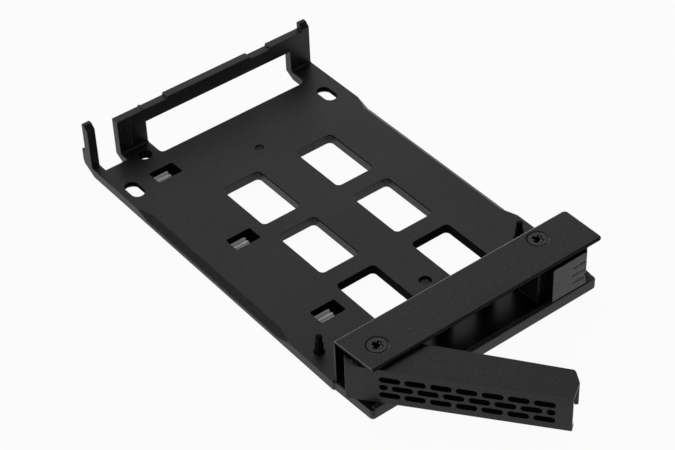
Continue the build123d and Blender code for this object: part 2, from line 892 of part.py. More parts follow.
# Contact strip under the plate with corrugated pads in the small windows
with BuildPart() as contact_strip:
    with BuildSketch(Plane.XY.offset(strip_under - strip_thickness)):
        with Locations((strip_x, (strip_rear + strip_front) / 2)):
            Rectangle(strip_width, strip_rear - strip_front)
        with Locations((strip_x, stake_y)):
            Circle(stake_radius, mode=Mode.SUBTRACT)
    extrude(amount=strip_thickness)
    for row in range(pad_count):
        middle = pad_first - pad_pitch * row
        with BuildSketch(Plane.YZ.offset(strip_x - pad_window_width / 2 + channel_clearance)):
            with BuildLine():
                Spline(
                    (middle - 1.5 * pad_wave, strip_under - strip_thickness / 2),
                    (middle - pad_wave, pad_crest),
                    (middle - pad_wave / 2, pad_crest - pad_dip),
                    (middle, pad_crest),
                    (middle + pad_wave / 2, pad_crest - pad_dip),
                    (middle + pad_wave, pad_crest),
                    (middle + 1.5 * pad_wave, strip_under - strip_thickness / 2),
                )
            trace(line_width=strip_thickness)
        extrude(amount=pad_window_width - 2 * channel_clearance)
contact_strip.part.label = "contact_strip"
export_step(contact_strip.part, "parts/contact_strip.step")

# Headed stake that holds the contact strip from below, and the two plate rivets
with BuildPart() as strip_rivet:
    with Locations((strip_x, stake_y, strip_under - strip_thickness)):
        Cylinder(
            stake_radius,
            strip_thickness + stake_depth,
            align=(Align.CENTER, Align.CENTER, Align.MIN),
        )
        Cylinder(
            stake_head_radius,
            strip_thickness - channel_clearance / 2,
            align=(Align.CENTER, Align.CENTER, Align.MAX),
        )
strip_rivet.part.label = "strip_rivet"
export_step(strip_rivet.part, "parts/strip_rivet.step")

for rivet_name, rivet_y, rivet_radius, rivet_sink in (
    ("plate_rivet_rear", rivet_rear_y, rivet_rear_radius, rivet_rear_sink),
    ("plate_rivet_front", rivet_front_y, rivet_front_radius, rivet_front_sink),
):
    with BuildPart() as plate_rivet:
        with Locations((rivet_x, rivet_y, plate_bottom)):
            Cylinder(
                rivet_radius,
                plate_thickness - rivet_sink,
                align=(Align.CENTER, Align.CENTER, Align.MIN),
            )
        fillet(edges().group_by(Axis.Z)[-1], rivet_round)
    plate_rivet.part.label = rivet_name
    export_step(plate_rivet.part, "parts/" + rivet_name + ".step")
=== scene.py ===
"""Hard drive mobile rack tray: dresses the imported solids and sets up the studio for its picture."""

from math import cos, radians, sin

import bpy
from bpy.props import FloatProperty, FloatVectorProperty, IntProperty, PointerProperty
from mathutils import Euler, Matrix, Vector


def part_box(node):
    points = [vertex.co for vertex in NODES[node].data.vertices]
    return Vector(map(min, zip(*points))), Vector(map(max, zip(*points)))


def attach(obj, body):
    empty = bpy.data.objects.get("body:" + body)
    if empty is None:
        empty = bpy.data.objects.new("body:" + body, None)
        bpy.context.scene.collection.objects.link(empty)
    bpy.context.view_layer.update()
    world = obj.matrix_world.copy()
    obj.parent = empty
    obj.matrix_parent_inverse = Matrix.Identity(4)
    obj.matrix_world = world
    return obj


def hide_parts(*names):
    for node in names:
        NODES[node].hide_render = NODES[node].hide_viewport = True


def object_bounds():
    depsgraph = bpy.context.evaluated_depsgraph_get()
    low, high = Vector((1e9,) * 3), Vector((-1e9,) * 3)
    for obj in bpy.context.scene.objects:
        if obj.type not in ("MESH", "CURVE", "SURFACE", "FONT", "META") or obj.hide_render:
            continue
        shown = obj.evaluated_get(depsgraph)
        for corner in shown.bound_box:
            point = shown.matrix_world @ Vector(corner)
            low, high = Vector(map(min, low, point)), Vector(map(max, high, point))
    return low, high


bl_info = {
    "name": "Drive rack tray",
    "version": (1, 0, 0),
    "blender": (4, 5, 0),
    "location": "3D View > Sidebar > Drive rack",
    "description": "Softens and coats the solids, finishes the hardware and sets up the studio",
    "category": "Object",
}

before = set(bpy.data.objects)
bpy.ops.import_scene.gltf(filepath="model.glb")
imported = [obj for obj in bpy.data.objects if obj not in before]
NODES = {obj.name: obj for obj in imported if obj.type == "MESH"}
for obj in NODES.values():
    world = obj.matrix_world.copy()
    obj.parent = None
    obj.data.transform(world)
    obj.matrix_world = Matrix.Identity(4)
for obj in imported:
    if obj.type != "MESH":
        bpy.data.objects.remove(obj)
cad_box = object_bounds()


def middle_of(node):
    """Middle of a node's box."""
    low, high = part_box(node)
    return (low + high) / 2


SCREW_NODES = ("cover_screw_left", "cover_screw_right")
SCREWS = [middle_of(node) for node in SCREW_NODES]
PIVOT = middle_of("pivot_post")
LEVER_LOW, LEVER_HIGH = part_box("lever_shell")
BUTTON_LOW, BUTTON_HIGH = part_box("latch_button")
OPEN_ANGLE = radians(51.7)

# Areas of the plate, each its lowest and highest x and then its lowest and highest y. The area of
# the rear holes counts on both sides.
LARGE_WINDOWS = (-0.016, 0.022, -0.042, 0.025)
FRONT_WINDOWS = (-0.016, 0.022, -0.042, -0.022)
SMALL_WINDOWS = (-0.026, -0.0165, -0.045, 0.040)
REAR_HOLES = (0.0185, 0.034, 0.026, 0.0502)

# Heights between which a face is part of the plate, the bay's floor or the top of the lip
PLATE_BOTTOM, PLATE_TOP = -0.0027, 0.0001
BAY_LOW, BAY_HIGH = -0.0008, -0.0004
LIP_LOW, LIP_HIGH = 0.0003, 0.0006
LIP_REAR = -0.05

# The lever's channel and the cut edge of its lower skin, measured along the lever and back from it,
# the thickness of its skins, a height just inside the lower one, and how far that is carried on
CHANNEL_START, CHANNEL_END, CHANNEL_FRONT = 0.0012, 0.0435, -0.00628
CUT_START, CUT_END, CUT_FRONT = 0.0400, 0.0411, -0.0066
SKIN, SKIN_INSIDE = 0.0007, 0.00078
SKIN_STEP = 0.0017

# Small places on the cover, the button, the screws and the contact strip
DIMPLE_RADIUS = 0.0042
GROOVE_START, GROOVE_END = 0.00012, 0.0009
BUTTON_TOP_EDGE = 0.0010
HEAD_EDGE = 0.0001
RECESS_RADIUS = 0.00135
GLINT_START = 0.0002
PAD_END = -0.0196

# Corners nearer than SEAM are one, faces that turn by less than FLAT are one, and edges that turn
# by more than SHARP are rounded
SEAM = 0.000002
FLAT = radians(0.4)
SHARP = radians(38)

# Coats: the setting with the colour, lift of the specks, roughness, bump and specular level
BLACK_COAT, WORN_AND_HIGHLIT_COAT, PAINTED_SHADE_COAT = "Grained black coat", "Rubbed coat", "Dull inner coat"
COATS = {
    BLACK_COAT: ("coat_colour", 2.6, 0.42, 0.30, 0.27),
    # Edge wear with a painted highlight, on the rounded edges of tray and lever, the cover's left
    # edge and the top of the front lip
    WORN_AND_HIGHLIT_COAT: ("worn_and_highlight_colour", 1.8, 0.45, 0.20, 0.15),
    # Painted highlight on the cover's rounded edges and rear bend, about ten times lighter than the
    # coat
    "Rubbed sheet": ("sheet_highlight_colour", 1.5, 0.20, 0.10, 0.70),
    # Painted shade on the sunk floor of the bay: darker than the coat, with a smooth gloss
    "Smooth bay coat": ("bay_shade_colour", 1.4, 0.27, 0.10, 0.20),
    # Painted shade: a near-black coat in the lever's channel and vents, under the cover, in the
    # plate's openings, on the button's left side and top, and on the dark rims of the screws and
    # rivets
    PAINTED_SHADE_COAT: ("painted_shade_colour", 1.8, 0.75, 0.20, 0.02),
    "Grained grey plastic": ("button_colour", 1.5, 0.50, 0.20, 0.35),
    # Painted light in the button's grip grooves: lighter than the button, where they would lie in
    # shade
    "Pale groove": ("groove_light_colour", 1.5, 0.50, 0.20, 0.35),
    "Peg plastic": ("peg_colour", 1.6, 0.60, 0.10, 0.06),
}

# For every coat: tone between the specks, spread of the roughness, range of the patches that
# spreads it, and depth of the grain as a share of its size
COAT_DARK, COAT_SPREAD, COAT_MASK, GRAIN_DEPTH = 0.86, 0.04, (0.3, 0.7), 0.2

# Metals: the setting with the colour, stretch of the scratches along x, y and z, roughness and
# metallic share
METALS = {
    "Blackened screw": ("screw_colour", (900.0, 900.0, 5000.0), 0.50, 0.0),
    # Painted glint: a pale non-metal colour on the recess walls that face left
    "Bare recess": ("recess_glint_colour", (3000.0, 3000.0, 3000.0), 0.30, 0.0),
    "Spring steel": ("steel_colour", (3000.0, 3000.0, 3000.0), 0.30, 1.0),
    "Plated strip": ("contact_colour", (6000.0, 300.0, 300.0), 0.45, 0.35),
    "Blackened rivet": ("screw_colour", (2500.0, 2500.0, 2500.0), 0.50, 0.6),
}

# For every metal: darkest and lightest tone, spread of the roughness, range of the scratches that
# spreads it, and strength and depth of the scratches
METAL_DARK, METAL_LIGHT, METAL_SPREAD, METAL_MASK = 0.75, 1.2, 0.06, (0.35, 0.65)
SCRATCH_BUMP, SCRATCH_DEPTH = 0.15, 0.00002

# Sockets of a Mix node that mixes colours
MIX_SHARE, MIX_FIRST, MIX_SECOND, MIX_RESULT = 0, 6, 7, 2

# The part of a direction's height over which the white backdrop fades out
BACKDROP_LOW, BACKDROP_HIGH = -0.05, 0.12


# Settings that a user would change

class RackFinishSettings(bpy.types.PropertyGroup):
    """Colours and grain of the finishes"""

    coat_colour: FloatVectorProperty(
        name="Coat", description="Colour of the textured coat on tray, cover and lever",
        default=(0.0150, 0.0150, 0.0155), size=3, min=0.0, max=1.0, subtype="COLOR",
    )
    # Near-black painted shade for faces turned inwards or hidden under other parts
    painted_shade_colour: FloatVectorProperty(
        name="Painted shade colour", description="Colour of the thin dull coat on faces turned inwards",
        default=(0.0040, 0.0040, 0.0042), size=3, min=0.0, max=1.0, subtype="COLOR",
    )
    # Painted shade on the bay floor
    bay_shade_colour: FloatVectorProperty(
        name="Painted bay shade", description="Colour of the smooth coat on the sunk floor of the bay",
        default=(0.0020, 0.0020, 0.0021), size=3, min=0.0, max=1.0, subtype="COLOR",
    )
    # Edge wear with a painted highlight
    worn_and_highlight_colour: FloatVectorProperty(
        name="Worn edge and highlight", description="Colour of the coat where it is rubbed thin along the edges",
        default=(0.050, 0.050, 0.052), size=3, min=0.0, max=1.0, subtype="COLOR",
    )
    # Painted highlight on the cover's edges and rear bend
    sheet_highlight_colour: FloatVectorProperty(
        name="Highlight on sheet edges", description="Colour of the rubbed bends and edges of the cover sheet",
        default=(0.160, 0.160, 0.163), size=3, min=0.0, max=1.0, subtype="COLOR",
    )
    button_colour: FloatVectorProperty(
        name="Button", description="Colour of the latch button",
        default=(0.170, 0.170, 0.174), size=3, min=0.0, max=1.0, subtype="COLOR",
    )
    # Painted light in the grooves
    groove_light_colour: FloatVectorProperty(
        name="Button grooves", description="Colour of the button's grip grooves",
        default=(0.42, 0.42, 0.43), size=3, min=0.0, max=1.0, subtype="COLOR",
    )
    screw_colour: FloatVectorProperty(
        name="Screws", description="Colour of the blackened screws and rivets",
        default=(0.016, 0.016, 0.017), size=3, min=0.0, max=1.0, subtype="COLOR",
    )
    peg_colour: FloatVectorProperty(
        name="Pegs", description="Colour of the drive pegs",
        default=(0.004, 0.004, 0.004), size=3, min=0.0, max=1.0, subtype="COLOR",
    )
    # Painted glint in the cross recesses
    recess_glint_colour: FloatVectorProperty(
        name="Glint in the recesses", description="Colour of the bare walls of the screws' cross recesses",
        default=(0.85, 0.85, 0.86), size=3, min=0.0, max=1.0, subtype="COLOR",
    )
    steel_colour: FloatVectorProperty(
        name="Steel", description="Colour of springs, post and anchor pin",
        default=(0.42, 0.42, 0.43), size=3, min=0.0, max=1.0, subtype="COLOR",
    )
    contact_colour: FloatVectorProperty(
        name="Contacts", description="Colour of the plated contact strip and its stake",
        default=(0.80, 0.80, 0.81), size=3, min=0.0, max=1.0, subtype="COLOR",
    )
    grain_size: FloatProperty(
        name="Grain", description="Size of one grain of the coat",
        default=0.00042, min=0.0001, max=0.005, unit="LENGTH",
    )


class RackShapeSettings(bpy.types.PropertyGroup):
    """Sizes of the softened edges"""

    tray_edge: FloatProperty(
        name="Tray edge", description="Width of the softened edges of the tray moulding",
        default=0.00018, min=0.0, max=0.001, unit="LENGTH",
    )
    lever_edge: FloatProperty(
        name="Lever edge", description="Width of the softened edges of lever and button",
        default=0.00014, min=0.0, max=0.001, unit="LENGTH",
    )
    # The cover's rounded edges take the painted highlight
    cover_edge: FloatProperty(
        name="Cover edge", description="Width of the rubbed edges of the cover sheet",
        default=0.00022, min=0.0, max=0.001, unit="LENGTH",
    )
    # The screws' dark rims are painted shade
    screw_edge: FloatProperty(
        name="Screw edge", description="Width of the dark rims of the screws",
        default=0.00020, min=0.0, max=0.001, unit="LENGTH",
    )
    # The rivets' dark rims are painted shade
    rivet_edge: FloatProperty(
        name="Rivet edge", description="Width of the dark rims of the plate rivets",
        default=0.00032, min=0.0, max=0.001, unit="LENGTH",
    )
    strip_edge: FloatProperty(
        name="Strip edge", description="Width of the softened edges of the contact strip",
        default=0.00003, min=0.0, max=0.001, unit="LENGTH",
    )
    peg_edge: FloatProperty(
        name="Peg edge", description="Width of the rounded edges of the drive pegs",
        default=0.00006, min=0.0, max=0.001, unit="LENGTH",
    )
    edge_steps: IntProperty(
        name="Edge steps", description="Faces across a softened edge", default=2, min=1, max=4,
    )


class RackStageSettings(bpy.types.PropertyGroup):
    """Floor, lamps and camera"""

    camera_place: FloatVectorProperty(
        name="Camera place", description="Where the camera stands",
        default=(-0.227507, -0.313737, 0.329730), size=3, subtype="TRANSLATION", unit="LENGTH",
    )
    camera_turn: FloatVectorProperty(
        name="Camera turn", description="How the camera is turned",
        default=(radians(49.2255), radians(1.8802), radians(-38.0697)), size=3, subtype="EULER",
    )
    lens: FloatProperty(
        name="Lens", description="Focal length on a 36 mm wide sensor", default=109.04, min=10.0,
    )
    floor_colour: FloatVectorProperty(
        name="Floor", description="Colour of the floor",
        default=(0.90, 0.90, 0.90), size=3, min=0.0, max=1.0, subtype="COLOR",
    )
    floor_width: FloatProperty(
        name="Floor width", description="Side of the square floor", default=6.0, unit="LENGTH",
    )
    floor_white: FloatProperty(
        name="Floor white", description="Share of plain white in the floor as the camera sees it",
        default=0.95, min=0.0, max=1.0,
    )
    rear_lamp: FloatProperty(
        name="Rear lamp", description="Power of the soft lamp behind the tray",
        default=5.6, unit="POWER",
    )
    rear_lamp_place: FloatVectorProperty(
        name="Rear lamp place", description="Middle of the rear lamp",
        default=(0.35, 0.75, 0.60), size=3, subtype="TRANSLATION", unit="LENGTH",
    )
    rear_lamp_size: FloatVectorProperty(
        name="Rear lamp size", description="Width and height of the rear lamp",
        default=(1.40, 1.40), size=2, unit="LENGTH",
    )
    side_lamp: FloatProperty(
        name="Side lamp", description="Power of the low soft lamp on the left",
        default=2.5, unit="POWER",
    )
    side_lamp_place: FloatVectorProperty(
        name="Side lamp place", description="Middle of the side lamp",
        default=(-0.96, 0.15, 0.27), size=3, subtype="TRANSLATION", unit="LENGTH",
    )
    side_lamp_size: FloatVectorProperty(
        name="Side lamp size", description="Width and height of the side lamp",
        default=(1.20, 0.50), size=2, unit="LENGTH",
    )
    room_light: FloatProperty(
        name="Room light", description="Strength of the even light of the room",
        default=0.15, min=0.0,
    )


# Node helpers

def new_material(name):
    """Material with an empty tree; returns it with its nodes and links."""
    material = bpy.data.materials.new(name)
    material.use_nodes = True
    tree = material.node_tree
    tree.nodes.clear()
    return material, tree.nodes, tree.links


def new_group(name, inputs, outputs):
    """Shader node group with inputs {name: (type, default)} and outputs {name: type}."""
    group = bpy.data.node_groups.new(name, "ShaderNodeTree")
    for label, (kind, value) in inputs.items():
        socket = group.interface.new_socket(label, in_out="INPUT", socket_type=kind)
        socket.default_value = value
    for label, kind in outputs.items():
        group.interface.new_socket(label, in_out="OUTPUT", socket_type=kind)
    return group, group.nodes.new("NodeGroupInput"), group.nodes.new("NodeGroupOutput")


def new_node(nodes, kind, sockets=None, **modes):
    """Node with its modes set, and with values {socket: value} on its inputs."""
    node = nodes.new(kind)
    for mode, choice in modes.items():
        setattr(node, mode, choice)
    for socket, value in (sockets or {}).items():
        node.inputs[socket].default_value = value
    return node


def combined(nodes, links, operation, first, second):
    """Output of a Math node that combines two outputs."""
    node = new_node(nodes, "ShaderNodeMath", operation=operation)
    links.new(first, node.inputs[0])
    links.new(second, node.inputs[1])
    return node.outputs["Value"]


def toned(colour, share):
    """Colour made darker or lighter, with its alpha."""
    return (*[min(1.0, part * share) for part in colour], 1.0)


def grained_coat_group():
    """Fine grain of a textured coat: masks of specks and of wider patches, and a height."""
    group, given, result = new_group(
        "Grained coat",
        {"Grain Scale": ("NodeSocketFloat", 2400.0), "Patch Scale": ("NodeSocketFloat", 40.0)},
        {"Specks": "NodeSocketFloat", "Patches": "NodeSocketFloat", "Height": "NodeSocketFloat"},
    )
    nodes, links = group.nodes, group.links
    place = new_node(nodes, "ShaderNodeTexCoord")
    grain = new_node(nodes, "ShaderNodeTexNoise", {"Detail": 2.0, "Roughness": 0.6})
    links.new(place.outputs["Object"], grain.inputs["Vector"])
    links.new(given.outputs["Grain Scale"], grain.inputs["Scale"])
    specks = new_node(
        nodes, "ShaderNodeMapRange", {"From Min": 0.50, "From Max": 0.72},
        interpolation_type="SMOOTHSTEP",
    )
    links.new(grain.outputs["Fac"], specks.inputs["Value"])
    patches = new_node(nodes, "ShaderNodeTexNoise", {"Detail": 3.0})
    links.new(place.outputs["Object"], patches.inputs["Vector"])
    links.new(given.outputs["Patch Scale"], patches.inputs["Scale"])
    links.new(specks.outputs["Result"], result.inputs["Specks"])
    links.new(patches.outputs["Fac"], result.inputs["Patches"])
    links.new(grain.outputs["Fac"], result.inputs["Height"])
    return group


def drawn_metal_group():
    """Fine scratches that run along one axis, as on drawn wire and rolled strip."""
    group, given, result = new_group(
        "Drawn metal",
        {"Stretch": ("NodeSocketVector", (400.0, 400.0, 6000.0))},
        {"Scratches": "NodeSocketFloat", "Height": "NodeSocketFloat"},
    )
    nodes, links = group.nodes, group.links
    place = new_node(nodes, "ShaderNodeTexCoord")
    stretch = new_node(nodes, "ShaderNodeVectorMath", operation="MULTIPLY")
    links.new(place.outputs["Object"], stretch.inputs[0])
    links.new(given.outputs["Stretch"], stretch.inputs[1])
    lines = new_node(nodes, "ShaderNodeTexNoise", {"Scale": 1.0, "Detail": 3.0})
    links.new(stretch.outputs["Vector"], lines.inputs["Vector"])
    links.new(lines.outputs["Fac"], result.inputs["Scratches"])
    links.new(lines.outputs["Fac"], result.inputs["Height"])
    return group


def patterned(name, effect, given, tones, gloss, relief, plain):
    """Material whose colour, roughness and bump follow the outputs of an effect group.

    given holds the group's inputs and plain the shader's, each {socket: value}. tones is an output
    and two colours, gloss an output, its range, a roughness and a spread, and relief a strength and
    a depth.
    """
    material, nodes, links = new_material(name)
    shader = new_node(nodes, "ShaderNodeBsdfPrincipled", plain)
    output = new_node(nodes, "ShaderNodeOutputMaterial")
    pattern = new_node(nodes, "ShaderNodeGroup", given, node_tree=effect)
    mask, dark, light = tones
    tint = new_node(
        nodes, "ShaderNodeMix", {MIX_FIRST: dark, MIX_SECOND: light}, data_type="RGBA",
    )
    links.new(pattern.outputs[mask], tint.inputs[MIX_SHARE])
    links.new(tint.outputs[MIX_RESULT], shader.inputs["Base Color"])
    mask, (least, most), rough, spread = gloss
    shine = new_node(nodes, "ShaderNodeMapRange", {
        "From Min": least, "From Max": most, "To Min": rough - spread, "To Max": rough + spread,
    })
    links.new(pattern.outputs[mask], shine.inputs["Value"])
    links.new(shine.outputs["Result"], shader.inputs["Roughness"])
    strength, depth = relief
    bump = new_node(nodes, "ShaderNodeBump", {"Strength": strength, "Distance": depth})
    links.new(pattern.outputs["Height"], bump.inputs["Height"])
    links.new(bump.outputs["Normal"], shader.inputs["Normal"])
    links.new(shader.outputs["BSDF"], output.inputs["Surface"])
    return material


def coated(name, finish, group):
    """One of the coats: lighter specks, an uneven gloss in faint patches and a fine bump."""
    setting, lift, rough, bump, specular = COATS[name]
    colour, grain_size = getattr(finish, setting), finish.grain_size
    return patterned(
        name, group, {"Grain Scale": 1.0 / grain_size},
        tones=("Specks", toned(colour, COAT_DARK), toned(colour, lift)),
        gloss=("Patches", COAT_MASK, rough, COAT_SPREAD),
        relief=(bump, grain_size * GRAIN_DEPTH),
        plain={"Specular IOR Level": specular},
    )


def bare_metal(name, finish, group):
    """One of the bare or blackened metals, with fine scratches in colour, gloss and bump."""
    setting, stretch, rough, metallic = METALS[name]
    colour = getattr(finish, setting)
    return patterned(
        name, group, {"Stretch": stretch},
        tones=("Scratches", toned(colour, METAL_DARK), toned(colour, METAL_LIGHT)),
        gloss=("Scratches", METAL_MASK, rough, METAL_SPREAD),
        relief=(SCRATCH_BUMP, SCRATCH_DEPTH),
        plain={"Metallic": metallic},
    )


# Mesh helpers

def dress(piece, names):
    """Gives a piece the named materials in place of what it had."""
    piece.data.materials.clear()
    for name in names:
        piece.data.materials.append(bpy.data.materials[name])


def pick_only(piece):
    """Makes one object the only selected and active one."""
    bpy.ops.object.select_all(action="DESELECT")
    piece.select_set(True)
    bpy.context.view_layer.objects.active = piece


def recoat(piece, slot, wanted):
    """Gives the faces whose centre and normal pass a test another of the piece's materials."""
    pick_only(piece)
    bpy.ops.object.mode_set(mode="EDIT")
    bpy.ops.mesh.select_all(action="DESELECT")
    bpy.ops.object.mode_set(mode="OBJECT")
    for face in piece.data.polygons:
        face.select = wanted(face.center, face.normal)
    piece.active_material_index = slot
    bpy.ops.object.mode_set(mode="EDIT")
    bpy.ops.object.material_slot_assign()
    bpy.ops.object.mode_set(mode="OBJECT")


def softened(node, name, width, steps, materials):
    """Copy of a CAD solid with its seams joined and its edges rounded over in the last material."""
    source = NODES[node]
    piece = bpy.data.objects.new(name, source.data.copy())
    bpy.context.scene.collection.objects.link(piece)
    dress(piece, materials)
    pick_only(piece)
    bpy.ops.object.mode_set(mode="EDIT")
    bpy.ops.mesh.select_all(action="SELECT")
    bpy.ops.mesh.customdata_custom_splitnormals_clear()
    bpy.ops.mesh.remove_doubles(threshold=SEAM)
    bpy.ops.mesh.dissolve_limited(angle_limit=FLAT)
    bpy.ops.object.mode_set(mode="OBJECT")
    rounding = piece.modifiers.new("Rounded edges", "BEVEL")
    rounding.limit_method = "ANGLE"
    rounding.angle_limit = SHARP
    rounding.width = width
    rounding.segments = steps
    rounding.material = len(materials) - 1
    rounding.use_clamp_overlap = False
    bpy.ops.object.modifier_apply(modifier=rounding.name)
    bpy.ops.object.shade_smooth_by_angle(angle=SHARP)
    evening = piece.modifiers.new("Even shading", "WEIGHTED_NORMAL")
    evening.mode = "FACE_AREA"
    evening.weight = 100
    evening.keep_sharp = True
    bpy.ops.object.modifier_apply(modifier=evening.name)
    return piece


def in_lever_frame(place):
    """Distances of a point from the pivot, along the lever and back from it."""
    across, ahead = place.x - PIVOT.x, place.y - PIVOT.y
    along = across * cos(OPEN_ANGLE) - ahead * sin(OPEN_ANGLE)
    back = across * sin(OPEN_ANGLE) + ahead * cos(OPEN_ANGLE)
    return along, back


def lengthen_skin(piece):
    """Carries the lever's lower skin on towards the tail, behind the last vent slots."""
    pick_only(piece)
    bpy.ops.object.mode_set(mode="EDIT")
    bpy.ops.mesh.select_mode(type="VERT")
    bpy.ops.mesh.select_all(action="DESELECT")
    bpy.ops.object.mode_set(mode="OBJECT")
    for vertex in piece.data.vertices:
        along, back = in_lever_frame(vertex.co)
        low = vertex.co.z < LEVER_LOW.z + SKIN_INSIDE
        vertex.select = low and CUT_START < along < CUT_END and back > CUT_FRONT
    bpy.ops.object.mode_set(mode="EDIT")
    towards_tail = (SKIN_STEP * cos(OPEN_ANGLE), -SKIN_STEP * sin(OPEN_ANGLE), 0.0)
    bpy.ops.transform.translate(value=towards_tail)
    bpy.ops.object.mode_set(mode="OBJECT")


def model(shape, pieces):
    """Models the pieces of a list and puts each in the place of its node."""
    for node, name, edge, slot, body, materials, tests in pieces:
        piece = softened(node, name, getattr(shape, edge), shape.edge_steps, materials)
        for place, test in tests:
            recoat(piece, place, test)
        if node == "lever_shell":
            lengthen_skin(piece)
        stand_in(piece, node, body)


def stand_in(piece, node, body):
    """Hides a CAD node and puts the piece that stands for it on its body."""
    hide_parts(node)
    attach(piece, body)


# Tests of a face by its centre and its normal, for recoat. A number beside a normal is the part of
# it along that axis, from -1 to 1.

def within(x, y, area):
    """Tells whether a point lies in an area of the plate."""
    left, right, front, rear = area
    return left < x < right and front < y < rear


def among_windows(place, normal):
    """Tells whether a face lies among the tray's large windows, at the plate's top or below."""
    return within(place.x, place.y, LARGE_WINDOWS) and place.z < PLATE_TOP


def on_right_wall(place, normal):
    """Tells whether a face of the tray is the rounded top of a large window's right wall."""
    return among_windows(place, normal) and 0.1 < normal.z < 0.98 and normal.x < -0.15


def in_opening(place, normal):
    """Tells whether a face is a wall of a front or small window, a slot or the sight hole."""
    if abs(normal.z) > 0.5 or not PLATE_BOTTOM < place.z < PLATE_TOP:
        return False
    return (
        within(place.x, place.y, FRONT_WINDOWS)
        or within(place.x, place.y, SMALL_WINDOWS)
        or within(abs(place.x), place.y, REAR_HOLES)
    )


def in_bay(place, normal):
    """Tells whether a face of the tray is the sunk floor of the front bay."""
    return normal.z > 0.9 and BAY_LOW < place.z < BAY_HIGH


def on_lip(place, normal):
    """Tells whether a face of the tray is the top of the front lip."""
    return normal.z > 0.9 and LIP_LOW < place.z < LIP_HIGH and place.y < LIP_REAR


def by_screw(place, normal):
    """Tells whether a face of the cover lies in the dimple around a screw."""
    return any((place.xy - screw.xy).length < DIMPLE_RADIUS for screw in SCREWS)


def under_cover(place, normal):
    """Tells whether a face of the cover looks down or towards the front."""
    return normal.z < -0.2 or (normal.y < -0.5 and normal.z < 0.2)


def on_left_edge(place, normal):
    """Tells whether a face of the cover looks left, as its cut left edge does."""
    return normal.x < -0.7


def on_bend(place, normal):
    """Tells whether a face of the cover is its rear bend."""
    return normal.y > 0.25 and 0.25 < normal.z < 0.97


def in_channel(place, normal):
    """Tells whether a face of the lever lies in its channel or in a vent slot."""
    along, back = in_lever_frame(place)
    between = LEVER_LOW.z + SKIN < place.z < LEVER_HIGH.z - SKIN
    return between and CHANNEL_START < along < CHANNEL_END and back > CHANNEL_FRONT


def off_left_side(place, normal):
    """Tells whether a face of the button looks anywhere but left."""
    return normal.x > -0.5


def in_groove(place, normal):
    """Tells whether a face of the button lies in a grip groove."""
    depth = place.y - BUTTON_LOW.y
    return GROOVE_START < depth < GROOVE_END and off_left_side(place, normal)


def on_button_top(place, normal):
    """Tells whether a face of the button is near its top and doesn't look to the front."""
    return place.z > BUTTON_HIGH.z - BUTTON_TOP_EDGE and normal.y > -0.9


def screw_tests(node):
    """Tests for a screw's head, and for what lies below it, which takes painted shade, but for the
    recess walls that keep a painted glint.
    """
    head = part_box(node)[1].z - HEAD_EDGE
    middle = middle_of(node)

    def on_head(place, normal):
        return normal.z > 0.97 and place.z > head

    def in_shade(place, normal):
        near = (place.xy - middle.xy).length < RECESS_RADIUS
        glints = near and normal.x < -0.6 and place.x > middle.x + GLINT_START
        return place.z < head and not glints

    return (1, on_head), (2, in_shade)


def on_dark_third(place, normal):
    """Tells whether a face of the contact strip lies right of the pads' bright part."""
    return place.x > PAD_END


# Pieces that replace a node: node, piece, setting with the width of its edges, slot, body, its
# materials, the last of them for the rounded edges, and its tests in order, each with the place in
# that list of the material that it gives

MOULDINGS = (
    # The tray takes painted shade in its front and small windows, slots and sight hole and on the
    # rounded tops of the large windows' right walls, painted shade on the bay floor, and edge wear
    # with a painted highlight on its rounded edges and the top of its front lip
    ("tray_base", "tray_moulding", "tray_edge", "tray_paint", "tray",
     (BLACK_COAT, PAINTED_SHADE_COAT, "Smooth bay coat", WORN_AND_HIGHLIT_COAT),
     ((0, among_windows), (1, in_opening), (1, on_right_wall), (2, in_bay), (3, on_lip))),
    # The cover takes painted shade underneath and on faces that look to the front, edge wear with a
    # painted highlight on its left edge, and a painted highlight on its other rounded edges and its
    # rear bend
    ("front_cover", "cover_sheet", "cover_edge", "cover_paint", "tray",
     (BLACK_COAT, PAINTED_SHADE_COAT, WORN_AND_HIGHLIT_COAT, "Rubbed sheet"),
     ((0, by_screw), (1, under_cover), (2, on_left_edge), (3, on_bend))),
    # The lever takes painted shade in its channel and vent slots, and edge wear with a painted
    # highlight on its rounded edges
    ("lever_shell", "lever_casting", "lever_edge", "lever_paint", "lever",
     (BLACK_COAT, PAINTED_SHADE_COAT, WORN_AND_HIGHLIT_COAT), ((1, in_channel),)),
    # The button takes painted shade on its left side and near its top, and painted light in its grip
    # grooves
    ("latch_button", "latch_button_shell", "lever_edge", "button_grey", "latch",
     (PAINTED_SHADE_COAT, "Pale groove", "Grained grey plastic"),
     ((2, off_left_side), (1, in_groove), (0, on_button_top))),
    *((node, node + "_turned", "peg_edge", "peg_black", "tray", ("Peg plastic",), ())
      for node in ("drive_peg_left", "drive_peg_right")),
)
HARDWARE = (
    # Screws take painted shade on their rims and below their heads and keep a painted glint on the
    # recess walls that face left; rivets take painted shade on their rims
    *((node, node + "_turned", "screw_edge", "screw_black", "tray",
       ("Bare recess", "Blackened screw", PAINTED_SHADE_COAT), screw_tests(node)) for node in SCREW_NODES),
    *((node, node + "_turned", "rivet_edge", "rivet_black", "tray",
       ("Blackened rivet", PAINTED_SHADE_COAT), ()) for node in ("plate_rivet_rear", "plate_rivet_front")),
)
BARE_NODES = {
    "Spring steel": ("pivot_post", "spring_anchor", "lever_spring", "latch_spring"),
    "Plated strip": ("strip_rivet",),
}


# Operators, one for each group of like pieces and one for the stage

